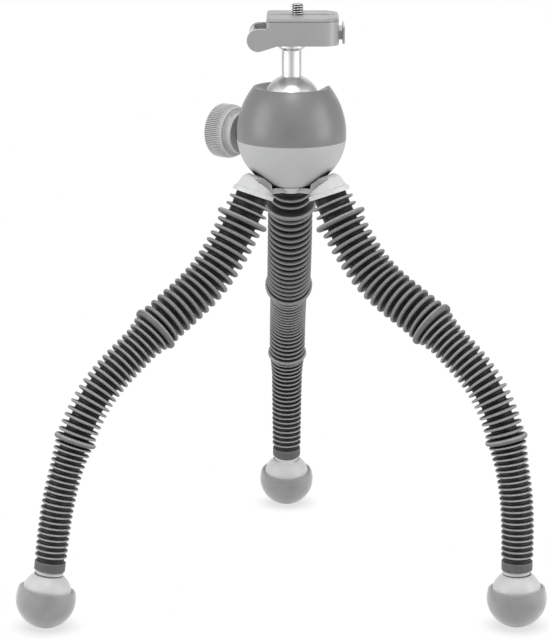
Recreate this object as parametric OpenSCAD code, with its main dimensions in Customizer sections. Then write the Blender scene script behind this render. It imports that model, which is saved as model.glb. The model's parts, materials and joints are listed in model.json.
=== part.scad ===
// Flexible leg tripod: three bendable ribbed legs, a hub, a ball head and a quick-release clamp.
// Millimetres, +Z up, origin on the ground under the head's axis, +Y towards the back leg.

/* [Stance] */
// Direction of the back, left and right leg round the head's axis
leg_azimuth = [91, 209, 330]; // [0:0.5:360]
// Lean of the back leg's five links from the vertical, top to bottom
lean_back = [33, 46, 43.5, 28, 10]; // [0:0.5:60]
// Lean of the left leg's five links, which sets how high the hub stands
lean_left = [32, 51.5, 47, 23.5, 10]; // [0:0.5:60]
// Lean of the right leg's five links
lean_right = [34, 55.5, 42.5, 18, 2.5]; // [0:0.5:60]

/* [Ribbed sleeve] */
// Distance along the leg from the top pivot to the first thick ring
ring1_at = 13.4; // [10:0.1:16]
// Distance from the first thick ring to the second
upper_span = 75.6; // [60:0.1:100]
// Distance from the second thick ring to the third
mid_span = 73; // [60:1:100]
// Distance from the third thick ring to the end band
lower_span = 65.5; // [55:0.5:90]
// Thin ribs above the first thick ring
top_ribs = 2; // [1:1:2]
// Thin ribs between the first and second thick rings
upper_ribs = 16; // [12:1:18]
// Thin ribs between the second and third thick rings
mid_ribs = 19; // [15:1:22]
// Thin ribs below the third thick ring
lower_ribs = 20; // [15:1:22]
// Radius of the sleeve between the ribs, at the top, at the third ring and at the end
groove_r = [8.7, 6.8, 7.1]; // [6.4:0.1:10]
// Radius of the thick rings
ring_r = [14.1, 13.4, 11.3]; // [10:0.1:16]
// Radius of the ribs: above the first ring, upper, middle, below the third ring, last
rib_r = [11.5, 12.3, 10.4, 10, 8.5]; // [7.8:0.1:14]
// Thickness of the thick rings
ring_t = 3.5; // [2:0.1:5]
// Thickness of the ribs: upper, middle and lower
rib_t = [1.9, 1.6, 1.4]; // [0.8:0.1:2.2]
// Chamfer on the edge of a rib
rib_edge = 0.45; // [0.1:0.05:0.6]
// Radius of the plain end band
band_r = 8.2; // [7.6:0.1:10]
// Length of the plain end band
band_len = 5; // [3:0.5:8]
// Gap between two stretches of sleeve at a pivot
sleeve_gap = 0.3; // [0.1:0.05:0.6]

/* [Leg core] */
// Radius of a core link
core_r = 5.3; // [5:0.1:5.8]
// Radius of the knuckle ball on top of each link
knuckle_r = 4; // [3.6:0.1:4.2]
// Radius of the neck under a knuckle ball
neck_r = 1.8; // [1.5:0.1:2]
// How far a socket reaches past the middle of its ball
socket_lip = 1; // [0.5:0.1:1.4]
// Radius of a knuckle's cross pin
knuckle_pin_r = 0.9; // [0.6:0.1:1.1]
// Clearance between a link and the sleeve's bore
bore_gap = 0.3; // [0.2:0.05:0.5]

/* [Feet] */
// Radius of the rubber foot
foot_r = 15.8; // [14:0.1:20]
// Radius of the foot's cap, which the rubber holds
cap_r = 13.5; // [12:0.1:14]
// Height of the cap's middle above the middle of the foot
cap_up = 2; // [1:0.1:3]
// Depth of the flat that the foot stands on
foot_flat = 0.4; // [0.2:0.1:1]
// Height of the rubber's lip above the middle of the foot
foot_lip = 5.6; // [3:0.1:7]
// Radius of the neck on top of the foot
foot_neck_r = 7.3; // [6.4:0.1:9]
// Distance from the end of the sleeve to the middle of the foot
foot_below_band = 15.5; // [14.5:0.5:22]

/* [Hub] */
// Distance of the legs' top pivots from the head's axis
leg_root_r = 23.8; // [22:0.2:28]
// Tilt of the hub's arms from the vertical
arm_tilt = 21; // [8:1:26]
// Radius of the collar that holds a leg's top
collar_r = 11.2; // [10:0.1:13]
// Thickness of the collar
collar_t = 2.4; // [1.5:0.1:4]
// Radius of an arm at its collar and at its top
arm_r = [10.3, 7.4]; // [6:0.1:11]
// Height of an arm above its pivot
arm_h = 11.2; // [9:0.1:16]
// Radius of the rounding over an arm's top
arm_dome = 10.6; // [10.4:0.1:13]
// Radius of the flat left on an arm's top
arm_flat = 5.6; // [4:0.1:7]
// Width of the web that joins an arm to the hub's middle
web_w = 10; // [8:1:16]
// Radius of the round boss under the housing
hub_r = 14.6; // [12:0.2:18]
// Depth of the round boss below the housing
hub_drop = 4.3; // [4:0.1:8]
// Thickness of the webs
hub_t = 2.8; // [2.5:0.1:5]
// Groove between the arms and the housing
arm_groove = 0.6; // [0.4:0.1:3]
// Width of the claw at an arm's top
claw_w = 12; // [8:0.5:13]
// How far an arm's sides stand back from the claw's inner face
claw_t = 4.2; // [2.5:0.1:5]

/* [Housing] */
// Height of the bowl's flat underside above the legs' top pivots
bowl_up = 3.9; // [3.5:0.1:6]
// Radius of the housing at its widest
housing_r = 29.2; // [27:0.1:34]
// Radius of the dome's side curve
dome_curve = 40.6; // [36:0.2:50]
// Height of the dome's rim above the widest level
dome_h = 25.3; // [24:0.1:30]
// Depth of the seam below the widest level
seam_drop = 2.7; // [1:0.1:6]
// Depth of the flat on the bowl's underside
bowl_cut = 1.6; // [1.2:0.1:4]
// Wall of the dome and the bowl
housing_wall = 2.6; // [1.6:0.1:4]
// Floor of the bowl
bowl_floor = 6; // [4:0.5:8]
// Direction of the drop notch
notch_azimuth = 35; // [0:1:60]
// Play of the neck in the drop notch
notch_play = 3.2; // [0.6:0.1:4]

/* [Ball] */
// Radius of the ball
ball_r = 15.4; // [14:0.1:16.5]
// Height of the ball's middle above the housing's widest level
ball_rise = 16.5; // [16:0.1:19]
// Radius of the stem
stem_r = 5.2; // [4:0.1:6]
// Distance from the ball's middle to the flange
stem_len = 28.4; // [26:0.1:36]
// Radius of the flange on top of the stem
flange_r = 7.1; // [6.2:0.1:9]
// Height of the flange
flange_h = 4.4; // [3:0.1:6]
// Height of the flange's straight edge
flange_edge = 2.8; // [1:0.1:2.9]
// Thickness of the liner under the ball
liner_t = 1.4; // [1:0.1:2.5]
// Play between the ball, its liner and its seat
ball_play = 0.08; // [0.03:0.01:0.15]
// Radius of the opening that the stem comes out of
mouth_r = 14; // [13:0.1:14.4]
// Radius of the block that presses on the liner
block_r = 9.2; // [7:0.1:10]

/* [Locking knob] */
// Direction of the knob
knob_azimuth = 141; // [120:1:180]
// Height of the knob's axis below the housing's widest level
knob_drop = 3; // [0:0.1:4]
// Radius of the knob's grip
knob_r = 14.6; // [12:0.1:18]
// Length of the knob's grip
knob_len = 11.6; // [8:0.1:16]
// Length of the grip's taper towards its collar
knob_taper = 5; // [2:0.1:6]
// Radius of the knob's collar at the housing and at the grip
knob_collar_r = [9, 12.4]; // [8:0.1:13]
// Length of the knob's collar
knob_collar_len = 4.8; // [4:0.1:8]
// Depth of the flat on the housing for the knob's neck
knob_flat = 1.2; // [1:0.1:2]
// Length of the bushing inside that flat
bushing_len = 8; // [6:0.5:10]
// Length of the neck between the housing and the knob
knob_neck = 5.3; // [4:0.1:7]
// Radius of that neck
knob_neck_r = 6.6; // [5.6:0.1:8]
// Radius of the knob's screw
knob_screw_r = 2.5; // [2:0.1:3]

/* [Quick-release clamp] */
// Left and right faces of the clamp, from the stem's axis
clamp_x = [-13.2, 24.8]; // [-20:0.1:32]
// Depth of the clamp from front to back
clamp_d = 38.6; // [34:0.1:48]
// Height of the clamp without its plate
clamp_h = 12.6; // [11:0.1:15]
// Radius of the clamp's upright corners, at the left and at the right
clamp_corner = [2, 9]; // [1:0.1:10]
// Thickness of the plate's top
plate_t = 1.8; // [1.4:0.1:3]
// Half width of the dovetail under the plate, at its neck
tail_half = 9; // [8:0.1:10]
// Depth of the dovetail
tail_h = 5.6; // [5:0.1:6]
// How much wider the dovetail is at its foot, each side
tail_flare = 2; // [1:0.1:2.4]
// Clearance round the dovetail
tail_gap = 0.2; // [0.1:0.05:0.3]
// Wall in front of the dovetail
tail_front = 2.6; // [2:0.1:4]

/* [Camera screw] */
// Radius of the camera screw's thread, a quarter inch across
camera_screw_r = 3.175; // [3.175:0.001:3.175]
// How far the camera screw stands above the plate
camera_screw_h = 5.9; // [4.5:0.1:7]
// Distance of the camera screw from the stem's axis
camera_screw_x = 3.1; // [2:0.1:5]

/* [Lever and button] */
// Distance of the lever's pin from the clamp's left face
lever_out = 4.3; // [4:0.1:4.6]
// Height of the lever's pin above the clamp's underside
lever_up = 3; // [2.6:0.1:4]
// Radius of the ears that hold the lever's pin, at the front and at the back
ear_r = [5.9, 5]; // [4.8:0.1:6.6]
// Thickness of the ears
ear_t = 3; // [2:0.1:4]
// Distance from the pin to where the ears run out under the clamp
ear_reach = 10; // [8:0.1:12]
// Radius of the lever
lever_r = 4.8; // [4:0.1:5]
// Thickness of the lever's wall
lever_wall = 1.5; // [1.2:0.1:1.6]
// Radius of the lever's pin
lever_pin_r = 1.2; // [0.8:0.1:1.3]
// How far the release button stands out
button_out = 3.1; // [2:0.1:4]
// Thickness of the release button's pad
button_t = 1.2; // [0.8:0.1:1.4]
// Width of the release button's pad
button_w = 25; // [16:0.5:28]
// Height of the release button's pad
button_h = 8.8; // [6.4:0.1:9.4]
// How much smaller the button's neck is than its pad, each side
button_neck_in = 2; // [1.5:0.1:2.4]

/* [Fasteners] */
// Radius of the housing screws
screw_r = 1.5; // [1:0.1:2]
// Distance of the housing screws from the housing's side
screw_inset = 9.2; // [8.6:0.1:10]
// Radius of the bolt that holds the clamp on the stem
stem_bolt_r = 2.5; // [2:0.1:3]
// Radius of the bolt that holds the hub under the bowl
hub_bolt_r = 3; // [2.5:0.1:4]
// Clearance of a shaft that turns in its hole
run_gap = 0.06; // [0.03:0.01:0.1]

/* [Hidden] */
$fn = 64;

// Colours of the pieces
light_grey = [0.84, 0.84, 0.85];
bowl_grey = [0.72, 0.72, 0.73];
clamp_grey = [0.61, 0.61, 0.62];
dome_grey = [0.50, 0.50, 0.51];
rubber_grey = [0.55, 0.55, 0.56];
sleeve_grey = [0.36, 0.36, 0.37];
chrome = [0.90, 0.90, 0.92];
steel = [0.70, 0.71, 0.73];

// A length that reaches past any one piece
far = 600;
// A little more than flush, for cuts
past = 0.5;

// Distances along a leg, from its top pivot
upper_pitch = upper_span / (upper_ribs + 1);
mid_pitch = mid_span / (mid_ribs + 1);
lower_pitch = lower_span / (lower_ribs + 1);
ring2_at = ring1_at + upper_span;
ring3_at = ring2_at + mid_span;
band_at = ring3_at + lower_span;
sleeve_end = band_at + band_len;
foot_at = sleeve_end + foot_below_band;
top_rib_step = 1.2;
// The pivots lie in grooves, so that no rib is split: after upper rib 7, middle ribs 1 and 13, lower rib 7
pivot_at = [0, ring1_at + 7.5 * upper_pitch, ring2_at + 1.5 * mid_pitch,
  ring2_at + 13.5 * mid_pitch, ring3_at + 7.5 * lower_pitch, foot_at];
link_len = [for (i = [0:4]) pivot_at[i + 1] - pivot_at[i]];

// Each leg drops as far as the left one: the third link's lean makes up the difference
trim_link = 2;
leans = [lean_back, lean_left, lean_right];
function drop_of(lean, i = 0) = i > 4 ? 0 : link_len[i] * cos(lean[i]) + drop_of(lean, i + 1);
stance_drop = drop_of(lean_left);
function trimmed(lean) = acos(cos(lean[trim_link]) + (stance_drop - drop_of(lean)) / link_len[trim_link]);
function leg_lean(k) = [for (i = [0:4]) i == trim_link ? trimmed(leans[k]) : leans[k][i]];
function step(lean, i) = link_len[i] * [sin(lean[i]), -cos(lean[i])];
function pivot(k, i) = i == 0 ? [leg_root_r, root_z] : pivot(k, i - 1) + step(leg_lean(k), i - 1);
// Lean of the piece above a pivot, and of the plane that parts the sleeve there
function lean_above(k, i) = i == 0 ? arm_tilt : leg_lean(k)[i - 1];
function parting_lean(k, i) = i == 0 ? arm_tilt : (leg_lean(k)[i - 1] + leg_lean(k)[i]) / 2;

// Heights
foot_z = foot_r - foot_flat;
root_z = foot_z + stance_drop;
bowl_h = housing_r - bowl_cut;
wide_z = root_z + bowl_up + bowl_h;
seam_z = wide_z - seam_drop;
rim_z = wide_z + dome_h;
bowl_z = wide_z - bowl_h;
ball_z = wide_z + ball_rise;
clamp_z = ball_z + stem_len + flange_h;
top_z = clamp_z + clamp_h;
plate_z = top_z + plate_t;
knob_z = wide_z - knob_drop;

// Sleeve and link
bore_r = core_r + bore_gap;
sleeve_spare = 4;
socket_r = knuckle_r + run_gap;
shoulder = [knuckle_r + 1, knuckle_r + 4];
rod_in_foot = 5;
collar_gap = 0.7;

// Housing and ball
dome_middle = housing_r - dome_curve;
rim_r = dome_middle + sqrt(pow(dome_curve, 2) - pow(dome_h, 2));
liner_r = ball_r + ball_play + liner_t;
recess_r = liner_r + 1.5 * ball_play;
seat_r = ball_r + 1.5 * ball_play;
seat_step = 6.5;
dome_block_z = ball_z - 6;
mouth_z = ball_z + sqrt(pow(seat_r, 2) - pow(mouth_r, 2));
notch_r = stem_r + notch_play;
washer_t = 0.8;
liner_top = 2.3;
liner_gap = 0.6;
block_gap = 0.1;
block_up = 3.6;
block_room = 0.9;
block_z = bowl_z + bowl_floor + washer_t + hub_bolt_r + block_room;
guide_t = 2.4;
boss_r = 4.2;
screw_head_r = 2 * screw_r;
screw_head_h = 1.4 * screw_r;
screw_cover = 0.3;
screw_ring_r = housing_r - screw_inset;
screw_low_z = wide_z - sqrt(pow(housing_r, 2) - pow(screw_ring_r + screw_head_r, 2));
screw_head_z = screw_low_z + screw_cover + screw_head_h;
hub_bolt_depth = 0.75 * hub_drop;
arm_dome_z = arm_h - sqrt(pow(arm_dome, 2) - pow(arm_flat, 2));
screw_len = 20;

// Knob
bushing_r = 2 * knob_screw_r;
knob_gap = 0.4;
knob_seat = housing_r - knob_flat;
bushing_x = knob_seat - bushing_len;
knob_x = knob_seat + knob_neck;
grip_x = knob_x + knob_collar_len;
cone_x = [block_r - 2.6, block_r + 1];
knob_tip_r = 0.5;
knob_edge = 1.2;
knob_dish = 0.8;
knob_line = 0.6;

// Clamp
clamp_mid = (clamp_x[0] + clamp_x[1]) / 2;
clamp_y = clamp_d / 2;
tail_x = 0.4 * clamp_mid + 0.6 * camera_screw_x;
tail_z = top_z - tail_h;
bolt_head_r = 1.8 * stem_bolt_r;
bolt_head_h = 1.1 * stem_bolt_r;
bolt_len = 6 * stem_bolt_r;
screw_flange_r = 1.6 * camera_screw_r;
screw_flange_h = 2.2;
screw_flange_gap = 0.3;
screw_tip = 0.8;
screw_undercut = 0.2;
groove_w = 0.9;
groove_d = 0.5;
key_slot = [15.4, 20.2];
key_slot_w = 1.5;
dimple_x = 21.7;
dimple_r = 0.8;
plate_gap = 0.1;

// Lever and button
lever_x = clamp_x[0] - lever_out;
lever_z = clamp_z + lever_up;
lever_gap = 0.4;
lever_len = 2 * (clamp_y - ear_t - lever_gap);
lever_end = 2;
lever_open = 0.2;
pin_cover = 1;
button_x = clamp_x[1] - 2;
button_flange = 1.4;
button_lip = 1;
button_gap = 0.2;
pocket_x = button_x - button_flange - 4;
button_mid_z = clamp_z + 0.5 + button_h / 2;
button_neck = [button_w - 2 * button_neck_in, button_h - 2 * button_neck_in];
button_stop = [button_neck[0] + 2 * button_lip, button_neck[1] + 2 * button_lip];
spring_t = 0.5;
spring_w = 4;

// Places

module at_leg(k) { rotate([0, 0, leg_azimuth[k]]) children(); }

module at_pivot(k, i, lean) {
  p = pivot(k, i);
  at_leg(k) translate([p[0], 0, p[1]]) rotate([0, -lean, 0]) children();
}

// A leg's knuckles bend in the leg's plane at the first, third and fifth pivot and sideways at the others
module along_hinge(k, i) {
  at_pivot(k, i, lean_above(k, i)) rotate(i % 2 == 0 ? [90, 0, 0] : [0, 90, 0]) children();
}

module half_space(up, gap) {
  translate([-far / 2, -far / 2, up ? gap : -far - gap]) cube(far);
}

module at_knob() {
  translate([0, 0, knob_z]) rotate([0, 0, knob_azimuth]) rotate([0, 90, 0]) children();
}

module at_notch() { translate([0, 0, ball_z]) rotate([0, 0, notch_azimuth]) children(); }

module at_screws() {
  for (k = [0:2]) at_leg(k) translate([screw_ring_r, 0, 0]) children();
}

module tube(r_out, r_in, h) {
  difference() {
    cylinder(r = r_out, h = h);
    translate([0, 0, -past]) cylinder(r = r_in, h = h + 2 * past);
  }
}

// Legs

function groove_at(s) = lookup(s, [[0, groove_r[0]], [ring3_at, groove_r[1]], [sleeve_end, groove_r[2]]]);

function mid_rib_r(j) = lookup(j, [[0, rib_r[1]], [3, rib_r[2]], [mid_ribs, rib_r[2]]]);

function lower_rib_r(j) = lookup(j,
  [[1, rib_r[3]], [5, (rib_r[3] + 2 * rib_r[4]) / 3], [lower_ribs, rib_r[4]]]);

// Every rib, ring and band of a sleeve as its middle, its radius and its thickness
ribs = concat(
  [for (j = [top_ribs:-1:1]) [ring1_at - (j - 1 + top_rib_step) * upper_pitch, rib_r[0], rib_t[0]]],
  [[ring1_at, ring_r[0], ring_t]],
  [for (j = [1:upper_ribs]) [ring1_at + j * upper_pitch, rib_r[1], rib_t[0]]],
  [[ring2_at, ring_r[1], ring_t]],
  [for (j = [1:mid_ribs]) [ring2_at + j * mid_pitch, mid_rib_r(j), rib_t[1]]],
  [[ring3_at, ring_r[2], ring_t]],
  [for (j = [1:lower_ribs]) [ring3_at + j * lower_pitch, lower_rib_r(j), rib_t[2]]],
  [[band_at + band_len / 2, band_r, band_len]]);

function rib_points(rib) = let (a = rib[0] - rib[2] / 2, b = rib[0] + rib[2] / 2, r = rib[1]) [
  [groove_at(a), a], [r - rib_edge, a], [r, a + rib_edge],
  [r, b - rib_edge], [r - rib_edge, b], [groove_at(b), b]];

// The outline of stretch i of a sleeve, with its bore: its own ribs, and spare tube past its pivots
function sleeve_outline(i, from, to) = let (
    here = [for (rib = ribs) if (rib[0] > pivot_at[i] && rib[0] < pivot_at[i + 1]) rib])
  concat([[bore_r, from], [groove_at(from), from]],
    [for (rib = here) each rib_points(rib)],
    [[groove_at(to), to], [bore_r, to]]);

module sleeve(k, i) {
  last = i == 4;
  from = pivot_at[i] - sleeve_spare;
  to = last ? sleeve_end + 0.02 : pivot_at[i + 1] + sleeve_spare;
  color(sleeve_grey)
  intersection() {
    at_pivot(k, i, leg_lean(k)[i]) rotate_extrude()
      polygon([for (p = sleeve_outline(i, from, to)) [p[0], pivot_at[i] - p[1]]]);
    at_pivot(k, i, parting_lean(k, i)) half_space(false, sleeve_gap / 2);
    if (!last) at_pivot(k, i + 1, parting_lean(k, i + 1)) half_space(true, sleeve_gap / 2);
  }
}

// A core link: a ball on top and a socket with a cross pin at the bottom, or a rod into the foot
module link(k, i) {
  last = i == 4;
  len = link_len[i];
  bottom = last ? len - rod_in_foot : len + socket_lip;
  color(steel) {
    difference() {
      at_pivot(k, i, leg_lean(k)[i]) difference() {
        union() {
          sphere(r = knuckle_r);
          translate([0, 0, -shoulder[0]]) cylinder(r = neck_r, h = shoulder[0]);
          translate([0, 0, -shoulder[1]])
            cylinder(r1 = core_r, r2 = neck_r, h = shoulder[1] - shoulder[0]);
          translate([0, 0, -bottom]) cylinder(r = core_r, h = bottom - shoulder[1]);
        }
        if (!last) translate([0, 0, -len]) sphere(r = socket_r);
      }
      along_hinge(k, i) cylinder(r = knuckle_pin_r + run_gap, h = 3 * knuckle_r, center = true);
    }
    if (!last) cross_pin(k, i + 1);
  }
}

module cross_pin(k, i) {
  along_hinge(k, i) cylinder(r = knuckle_pin_r, h = 2 * core_r - past, center = true);
}

module foot_cap(k) {
  color(light_grey)
  at_pivot(k, 5, leg_lean(k)[4]) difference() {
    union() {
      translate([0, 0, cap_up]) sphere(r = cap_r - bore_gap / 2);
      cylinder(r = foot_neck_r, h = foot_below_band - bore_gap);
    }
    translate([0, 0, rod_in_foot - past]) cylinder(r = core_r + run_gap, h = far);
  }
}

module foot_pad(k) {
  color(rubber_grey)
  intersection() {
    at_pivot(k, 5, leg_lean(k)[4]) difference() {
      sphere(r = foot_r);
      translate([0, 0, cap_up]) sphere(r = cap_r);
      half_space(true, foot_lip);
    }
    half_space(true, 0);
  }
}

// Hub and its fasteners

module hub() {
  color(light_grey) {
    difference() {
      union() {
        hub_boss();
        for (k = [0:2]) hub_arm(k);
      }
      for (k = [0:2]) at_pivot(k, 0, arm_tilt) leg_socket();
      translate([0, 0, bowl_z - hub_bolt_depth - run_gap]) cylinder(r = hub_bolt_r + run_gap, h = far);
    }
    for (k = [0:2]) cross_pin(k, 0);
  }
}

// The round boss under the bowl's flat
module hub_boss() {
  intersection() {
    translate([0, 0, bowl_z - hub_drop + hub_r]) sphere(r = hub_r);
    translate([0, 0, bowl_z - 2 * hub_drop]) cylinder(r = 2 * hub_r, h = 2 * hub_drop);
  }
}

// An arm: its claw follows the housing, and its sides stand further back
module hub_arm(k) {
  at_leg(k) translate([0, -web_w / 2, bowl_z - hub_t]) cube([leg_root_r, web_w, hub_t]);
  difference() {
    at_pivot(k, 0, arm_tilt) {
      translate([0, 0, collar_gap]) cylinder(r = collar_r, h = collar_t);
      intersection() {
        translate([0, 0, collar_gap + collar_t])
          cylinder(r1 = arm_r[0], r2 = arm_r[1], h = arm_h - collar_gap - collar_t);
        translate([0, 0, arm_dome_z]) sphere(r = arm_dome);
      }
      translate([0, 0, -socket_lip]) cylinder(r = core_r, h = collar_t + socket_lip);
    }
    translate([0, 0, wide_z]) sphere(r = housing_r + arm_groove);
    difference() {
      translate([0, 0, wide_z]) sphere(r = housing_r + arm_groove + claw_t);
      at_leg(k) translate([0, -claw_w / 2, root_z - far / 2]) cube([far, claw_w, far]);
    }
  }
}

module leg_socket() { sphere(r = socket_r); }

// The hub's bolt, from inside the bowl down into the boss
module hub_bolt() {
  head_z = bowl_z + bowl_floor + washer_t;
  color(steel) {
    translate([0, 0, bowl_z - hub_bolt_depth])
      cylinder(r = hub_bolt_r, h = head_z - bowl_z + hub_bolt_depth + past);
    translate([0, 0, head_z]) cylinder(r = 1.7 * hub_bolt_r, h = hub_bolt_r);
  }
}

module hub_washer() {
  color(steel)
  translate([0, 0, bowl_z + bowl_floor]) tube(2.4 * hub_bolt_r, hub_bolt_r + run_gap, washer_t);
}

// Housing

module bowl() {
  color(bowl_grey)
  difference() {
    union() {
      intersection() {
        translate([0, 0, wide_z]) difference() {
          sphere(r = housing_r);
          translate([0, 0, bowl_floor - bowl_h]) cylinder_of_bowl();
        }
        translate([0, 0, bowl_z]) cylinder(r = far, h = seam_z - bowl_z);
      }
      translate([0, 0, bowl_z + bowl_floor - past])
        cylinder(r = block_r + block_gap + guide_t, h = seam_z - bowl_z - bowl_floor + past);
      intersection() {
        at_screws() translate([0, 0, bowl_z]) cylinder(r = boss_r, h = seam_z - bowl_z);
        translate([0, 0, wide_z]) sphere(r = housing_r);
      }
    }
    translate([0, 0, bowl_z + bowl_floor]) cylinder(r = block_r + block_gap, h = far);
    translate([0, 0, bowl_z - past]) cylinder(r = hub_bolt_r + run_gap, h = bowl_floor + 2 * past);
    at_screws() {
      translate([0, 0, bowl_z - past])
        cylinder(r = screw_head_r + run_gap, h = screw_head_z - bowl_z + past);
      translate([0, 0, bowl_z]) cylinder(r = screw_r + run_gap, h = far);
    }
    knob_cut();
  }
}

// The hollow of the bowl, above its floor
module cylinder_of_bowl() {
  intersection() {
    translate([0, 0, bowl_h - bowl_floor]) sphere(r = housing_r - housing_wall);
    cylinder(r = far, h = far);
  }
}

module dome() {
  color(dome_grey)
  difference() {
    union() {
      difference() {
        dome_form(0, rim_z);
        dome_form(housing_wall, dome_block_z);
      }
      intersection() {
        at_screws() translate([0, 0, seam_z]) cylinder(r = boss_r, h = dome_block_z - seam_z + past);
        dome_form(0, rim_z);
      }
    }
    translate([0, 0, ball_z]) {
      sphere(r = seat_r);
      intersection() {
        sphere(r = recess_r);
        translate([0, 0, seat_step - far]) cylinder(r = far, h = far);
      }
    }
    translate([0, 0, mouth_z]) cylinder(r1 = mouth_r, r2 = rim_r - 1, h = rim_z - mouth_z + 0.01);
    translate([0, 0, ball_z]) cylinder(r = mouth_r, h = far);
    at_notch() {
      rotate([0, 90, 0]) cylinder(r = notch_r, h = far);
      translate([0, -notch_r, 0]) cube([far, 2 * notch_r, far]);
    }
    at_screws() translate([0, 0, seam_z - past])
      cylinder(r = screw_r + run_gap, h = screw_head_z + screw_len + 1 - seam_z + past);
    knob_cut();
  }
}

// The dome's outside, or its inside at a given wall, from the seam up to a given height
module dome_form(wall, top) {
  rotate_extrude() intersection() {
    translate([dome_middle, wide_z]) circle(r = dome_curve - wall);
    translate([0, seam_z - (wall > 0 ? past : 0)]) square([far, top - seam_z + (wall > 0 ? past : 0)]);
  }
}

module knob_cut() {
  at_knob() {
    translate([0, 0, knob_seat]) cylinder(r = knob_neck_r + run_gap, h = far);
    cylinder(r = knob_screw_r + run_gap, h = far);
    translate([0, 0, bushing_x]) cylinder(r = bushing_r + run_gap, h = far);
  }
}

module housing_screws() {
  color(steel)
  at_screws() translate([0, 0, screw_head_z]) {
    translate([0, 0, -screw_head_h]) cylinder(r = screw_head_r, h = screw_head_h);
    cylinder(r = screw_r, h = screw_len);
  }
}

module knob_bushing() {
  color("goldenrod")
  at_knob() {
    translate([0, 0, bushing_x]) tube(bushing_r, knob_screw_r + run_gap, knob_seat - bushing_x);
    translate([0, 0, knob_seat]) tube(knob_neck_r, knob_screw_r + run_gap, knob_neck - knob_gap);
  }
}

// Ball and what holds it

module ball_stem() {
  color(chrome)
  translate([0, 0, ball_z]) difference() {
    union() {
      sphere(r = ball_r);
      cylinder(r = stem_r, h = stem_len + past);
      translate([0, 0, stem_len]) cylinder(r1 = stem_r, r2 = flange_r, h = flange_h - flange_edge);
      translate([0, 0, stem_len + flange_h - flange_edge])
        cylinder(r = flange_r, h = flange_edge - plate_gap);
    }
    translate([0, 0, stem_len + flange_h - bolt_len]) cylinder(r = stem_bolt_r + run_gap, h = far);
  }
}

module ball_liner() {
  color(light_grey)
  translate([0, 0, ball_z]) difference() {
    sphere(r = liner_r);
    sphere(r = ball_r + ball_play);
    half_space(true, -liner_top);
    // Room for the stem when it lies in the notch
    rotate([0, 0, notch_azimuth]) rotate([0, 90, 0]) cylinder(r = stem_r + liner_gap, h = far);
  }
}

module pressure_block() {
  color(steel)
  difference() {
    translate([0, 0, block_z]) cylinder(r = block_r, h = seam_z + block_up - block_z);
    translate([0, 0, ball_z]) sphere(r = recess_r);
    at_knob() translate([0, 0, cone_x[0] - knob_gap]) cylinder(
      r1 = knob_tip_r + knob_gap, r2 = knob_screw_r + 2 * knob_gap, h = cone_x[1] - cone_x[0] + knob_gap);
  }
}

// Knob

module knob_screw() {
  color(steel)
  at_knob() {
    translate([0, 0, cone_x[0]]) cylinder(r1 = knob_tip_r, r2 = knob_screw_r, h = cone_x[1] - cone_x[0]);
    translate([0, 0, cone_x[1]]) cylinder(r = knob_screw_r, h = grip_x + knob_len / 2 - cone_x[1]);
  }
}

module knob_collar() {
  color(clamp_grey)
  at_knob() translate([0, 0, knob_x]) difference() {
    union() {
      cylinder(r1 = knob_collar_r[0], r2 = knob_collar_r[1], h = knob_collar_len - knob_line);
      cylinder(r = knob_collar_r[1] - 2 * knob_line, h = knob_collar_len);
    }
    translate([0, 0, -past]) cylinder(r = knob_screw_r + run_gap, h = far);
  }
}

module knob_grip() {
  color(light_grey)
  at_knob() translate([0, 0, grip_x]) difference() {
    union() {
      cylinder(r1 = knob_collar_r[1] + knob_line, r2 = knob_r, h = knob_taper);
      translate([0, 0, knob_taper]) cylinder(r = knob_r, h = knob_len - knob_taper - knob_edge);
      translate([0, 0, knob_len - knob_edge]) cylinder(r1 = knob_r, r2 = knob_r - knob_edge, h = knob_edge);
    }
    translate([0, 0, knob_len - knob_dish]) cylinder(r = knob_r - 3 * knob_edge, h = far);
    translate([0, 0, -past]) cylinder(r = knob_screw_r + run_gap, h = knob_len / 2 + past + run_gap);
  }
}

// Quick-release clamp

module clamp_outline() {
  l = clamp_corner[0];
  r = clamp_corner[1];
  w = clamp_x[1] - clamp_x[0];
  translate([clamp_x[0] + l, -clamp_y]) square([w - l - r, clamp_d]);
  translate([clamp_x[0], l - clamp_y]) square([w / 2, clamp_d - 2 * l]);
  translate([clamp_x[1] - w / 2, r - clamp_y]) square([w / 2, clamp_d - 2 * r]);
  for (side = [-1, 1]) {
    translate([clamp_x[0] + l, side * (clamp_y - l)]) circle(r = l);
    translate([clamp_x[1] - r, side * (clamp_y - r)]) circle(r = r);
  }
}

// The dovetail's section, grown by a clearance, drawn along the clamp's depth
module tail(gap, front, back) {
  translate([tail_x, back, top_z]) rotate([90, 0, 0]) linear_extrude(back - front)
    polygon([[-tail_half - gap, past], [-tail_half - gap, 0], [-tail_half - tail_flare - gap, gap - tail_h],
      [-tail_half - tail_flare - gap, -tail_h - gap], [tail_half + tail_flare + gap, -tail_h - gap],
      [tail_half + tail_flare + gap, gap - tail_h], [tail_half + gap, 0], [tail_half + gap, past]]);
}

module clamp_body() {
  color(clamp_grey)
  difference() {
    union() {
      translate([0, 0, clamp_z]) linear_extrude(clamp_h - plate_gap) clamp_outline();
      clamp_ear(ear_r[0], ear_t - clamp_y);
      clamp_ear(ear_r[1], clamp_y);
    }
    tail(tail_gap, tail_front - clamp_y, far);
    translate([0, 0, clamp_z - past]) cylinder(r = stem_bolt_r + run_gap, h = far);
    translate([0, 0, tail_z - bolt_head_h - plate_gap])
      cylinder(r = bolt_head_r + tail_gap, h = bolt_head_h + past);
    button_pocket();
    at_lever(lever_len / 2 + lever_gap) cylinder(r = lever_r + lever_gap, h = lever_len + 2 * lever_gap);
    at_lever(clamp_y + past) cylinder(r = lever_pin_r + run_gap, h = 2 * clamp_y + past - pin_cover);
  }
}

// The lever's pin, from a given place behind the stem's axis towards the front
module at_lever(y) { translate([lever_x, y, lever_z]) rotate([90, 0, 0]) children(); }

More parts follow.
